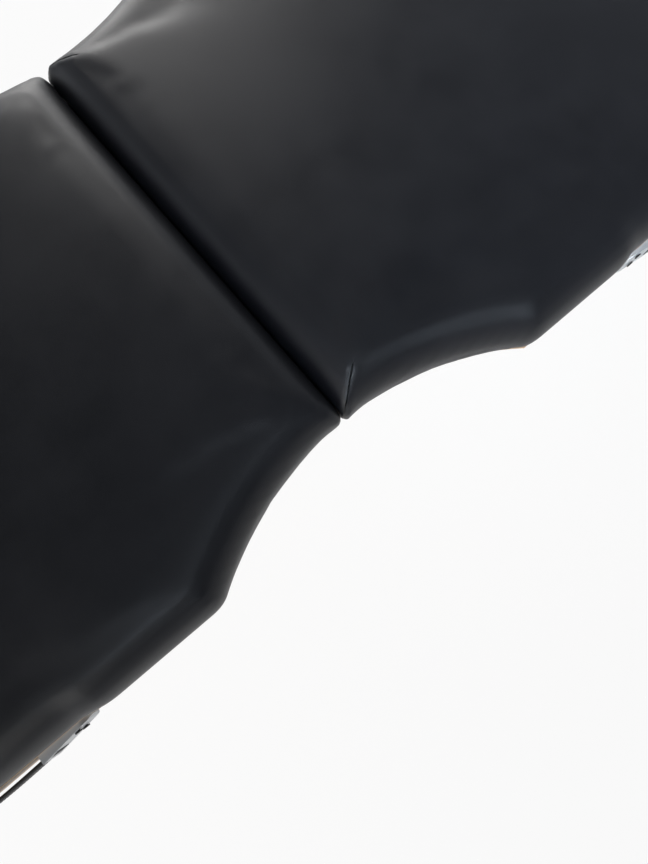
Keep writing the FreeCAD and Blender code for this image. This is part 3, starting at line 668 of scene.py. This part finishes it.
def wood(name, stretch, light, dark, fleck):
    """Oiled hardwood whose grain runs along the axis that is stretched least."""
    material, tree, shader, place = material_start(name)
    along = add(tree, "ShaderNodeMapping", None, Vector=place)
    along.inputs["Scale"].default_value = stretch
    figure = placed(tree, FIGURE_OF_WOOD, Vector=along.outputs["Vector"], Light=(*light, 1),
                    Dark=(*dark, 1), Fleck=fleck)
    feed(tree, shader.inputs["Base Color"], figure["Color"])
    feed(tree, shader.inputs["Roughness"], figure["Roughness"])
    shader.inputs["Coat Weight"].default_value = 0.15
    shader.inputs["Coat Roughness"].default_value = 0.3
    bumped(tree, shader, figure["Height"], distance=0.0002, strength=0.35)
    return material


def handled(name, dark, light, metallic, rough, fine_scale, depth):
    """Metal, plastic or rubber with an uneven sheen."""
    material, tree, shader, place = material_start(name)
    surface = placed(tree, HANDLED_SURFACE, Vector=place, Fine_Scale=fine_scale,
                     Low_Roughness=rough[0], High_Roughness=rough[1])
    feed(tree, shader.inputs["Base Color"],
         mixed(tree, surface["Cloud"], (*dark, 1), (*light, 1)))
    feed(tree, shader.inputs["Roughness"], surface["Roughness"])
    shader.inputs["Metallic"].default_value = metallic
    bumped(tree, shader, surface["Height"], distance=depth, strength=0.4)
    return material


BEECH_LIGHT = (0.70, 0.49, 0.29)
BEECH_DARK = (0.54, 0.33, 0.17)

BLACK_LEATHER = leather("black_leather", (0.0088, 0.0092, 0.0116), (0.0112, 0.0116, 0.0144),
                        rough=(0.36, 0.44), pore_scale=700.0)
STRAP_LEATHER = leather("strap_leather", (0.014, 0.014, 0.015), (0.021, 0.021, 0.023),
                        rough=(0.45, 0.58), pore_scale=500.0)
BEECH_LENGTHWAYS = wood("beech_lengthways", (1, 12, 12), BEECH_LIGHT, BEECH_DARK, fleck=0.5)
BEECH_CROSSWAYS = wood("beech_crossways", (12, 1, 12), BEECH_LIGHT, BEECH_DARK, fleck=0.5)
BEECH_UPRIGHT = wood("beech_upright", (12, 12, 1), BEECH_LIGHT, BEECH_DARK, fleck=0.5)
PLYWOOD = wood("plywood", (1, 7, 30), (0.72, 0.57, 0.40), (0.58, 0.43, 0.27), fleck=0.15)
ZINC = handled("zinc_plate", (0.52, 0.53, 0.54), (0.68, 0.69, 0.70), metallic=1.0,
               rough=(0.24, 0.42), fine_scale=300.0, depth=0.00003)
SILVER = handled("silver_paint", (0.60, 0.62, 0.64), (0.68, 0.70, 0.72), metallic=0.3,
                 rough=(0.28, 0.42), fine_scale=500.0, depth=0.00003)
BLACK_STEEL = handled("black_steel", (0.02, 0.02, 0.02), (0.05, 0.05, 0.05), metallic=0.6,
                      rough=(0.35, 0.5), fine_scale=400.0, depth=0.00003)
BLACK_PLASTIC = handled("black_plastic", (0.014, 0.014, 0.015), (0.024, 0.024, 0.026),
                        metallic=0.0, rough=(0.42, 0.58), fine_scale=900.0, depth=0.00008)
THREAD = handled("grey_thread", (0.05, 0.05, 0.052), (0.08, 0.08, 0.083), metallic=0.0,
                 rough=(0.5, 0.7), fine_scale=2500.0, depth=0.00005)
RUBBER = handled("black_rubber", (0.02, 0.02, 0.02), (0.035, 0.034, 0.033), metallic=0.0,
                 rough=(0.62, 0.8), fine_scale=600.0, depth=0.00012)

# What a piece's name holds and its finish; the first row that fits counts
FINISHES = [
    ("_pad", BLACK_LEATHER),
    ("thread", THREAD),
    ("strap", STRAP_LEATHER),
    ("handle_caps", SILVER),
    ("handle_screws", BLACK_STEEL),
    ("front_rail", BEECH_LENGTHWAYS),
    ("back_rail", BEECH_LENGTHWAYS),
    ("end_rail", BEECH_CROSSWAYS),
    ("centre_rail", BEECH_CROSSWAYS),
    ("leg_crossbar", BEECH_CROSSWAYS),
    ("upper_leg", BEECH_UPRIGHT),
    ("lower_leg", BEECH_UPRIGHT),
    ("deck", PLYWOOD),
    ("knob", BLACK_PLASTIC),
    ("foot", RUBBER),
]


def dress(thing):
    """Give a piece or frame node its finish, by its name; what isn't listed is zinc-plated."""
    finish = next((material for part, material in FINISHES if part in thing.name), ZINC)
    thing.data.materials.clear()
    thing.data.materials.append(finish)


def floor_finish():
    """White floor that keeps a soft shadow, and is white to the camera and in reflections."""
    material, tree, shader, place = material_start("pale_floor")
    surface = placed(tree, HANDLED_SURFACE, Vector=place, Low_Roughness=0.6, High_Roughness=0.8)
    feed(tree, shader.inputs["Base Color"],
         mixed(tree, surface["Cloud"], (0.84, 0.84, 0.84, 1), (0.88, 0.88, 0.88, 1)))
    feed(tree, shader.inputs["Roughness"], surface["Roughness"])
    rays = tree.nodes.new("ShaderNodeLightPath").outputs
    bounced = reckon(tree, "MAXIMUM", rays["Is Glossy Ray"], rays["Is Transmission Ray"])
    mirrored = reckon(tree, "MULTIPLY", bounced, FLOOR_MIRRORED)
    direct = reckon(tree, "MULTIPLY", rays["Is Camera Ray"], FLOOR_WHITE)
    seen = reckon(tree, "MAXIMUM", direct, mirrored)
    glow = add(tree, "ShaderNodeEmission", None, Strength=1.0)
    blend = tree.nodes.new("ShaderNodeMixShader")
    feed(tree, blend.inputs[0], seen)
    feed(tree, blend.inputs[1], shader.outputs["BSDF"])
    feed(tree, blend.inputs[2], glow.outputs["Emission"])
    feed(tree, tree.nodes["Material Output"].inputs["Surface"], blend.outputs["Shader"])
    return material


def lamp(name, place, aim, size, power, colour, spread_angle=180):
    """A square soft lamp aimed at a spot on the table."""
    data = bpy.data.lights.new(name, "AREA")
    data.size = size
    data.spread = math.radians(spread_angle)
    data.energy = power
    data.color = colour
    thing = bpy.data.objects.new(name, data)
    thing.location = place
    thing.rotation_euler = (aim - place).to_track_quat("-Z", "Y").to_euler()
    SCENE.collection.objects.link(thing)


def sky():
    """World that is white at the horizon, and dimmer overhead and on the camera's side."""
    world = bpy.data.worlds.new("studio_world")
    SCENE.world = world
    world.use_nodes = True
    tree = world.node_tree
    back = tree.nodes["Background"]
    direction = tree.nodes.new("ShaderNodeTexCoord").outputs["Generated"]
    parts = add(tree, "ShaderNodeSeparateXYZ", None, Vector=direction).outputs
    rise = spread(tree, parts["Z"], *SKY_DIMS, 1.0, SKY_OVERHEAD)
    level = reckon(tree, "MULTIPLY", rise, spread(tree, parts["Y"], -0.7, -0.2, SKY_NEAR, 1.0))
    seen = tree.nodes.new("ShaderNodeLightPath").outputs["Is Camera Ray"]
    feed(tree, back.inputs["Strength"], reckon(tree, "MAXIMUM", level, seen))
    feed(tree, back.inputs["Color"], mixed(tree, seen, (0.92, 0.97, 1.05, 1), (1, 1, 1, 1)))


def studio():
    """Floor, soft lamps and world."""
    mesh = bmesh.new()
    bmesh.ops.create_grid(mesh, x_segments=1, y_segments=1, size=14)
    floor = finished("floor", mesh)
    floor.data.materials.append(floor_finish())
    sky()
    middle = Vector((0, 0, 0.5))
    lamp("softbox", Vector((-0.55, -1.19, 2.5)), Vector((0.48, -0.2, 0.6)), size=0.7, power=2.1,
         colour=(0.76, 0.87, 1.0), spread_angle=32)
    lamp("near_light", Vector((-3.4, -1.7, 1.6)), middle, size=2.0, power=70,
         colour=(1.0, 0.98, 0.95))
    lamp("far_light", Vector((1.4, 3.6, 1.6)), middle, size=2.0, power=90,
         colour=(1.0, 0.98, 0.96))


def camera():
    """Look down over the near edge, as in the photograph."""
    data = bpy.data.cameras.new("camera")
    data.lens = LENS_MM
    data.sensor_width = SENSOR_MM
    data.sensor_fit = "AUTO"
    thing = bpy.data.objects.new("camera", data)
    back = -CAMERA_FORWARD.normalized()
    right = (CAMERA_RIGHT - back * CAMERA_RIGHT.dot(back)).normalized()
    above = back.cross(right)
    turn = Matrix((right, above, back)).transposed()
    thing.matrix_world = Matrix.Translation(CAMERA_PLACE) @ turn.to_4x4()
    SCENE.collection.objects.link(thing)
    SCENE.camera = thing


camera()
PIECES = [pad("left", SOFT_CORNER), pad("right", SHARP_CORNER)]
for half_name in SIDES:
    PIECES += [strap(half_name), strap_thread(half_name)]
for piece in PIECES:
    dress(piece)
for cad_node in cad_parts.values():
    dress(cad_node)
studio()
SCENE.view_settings.view_transform = "Standard"
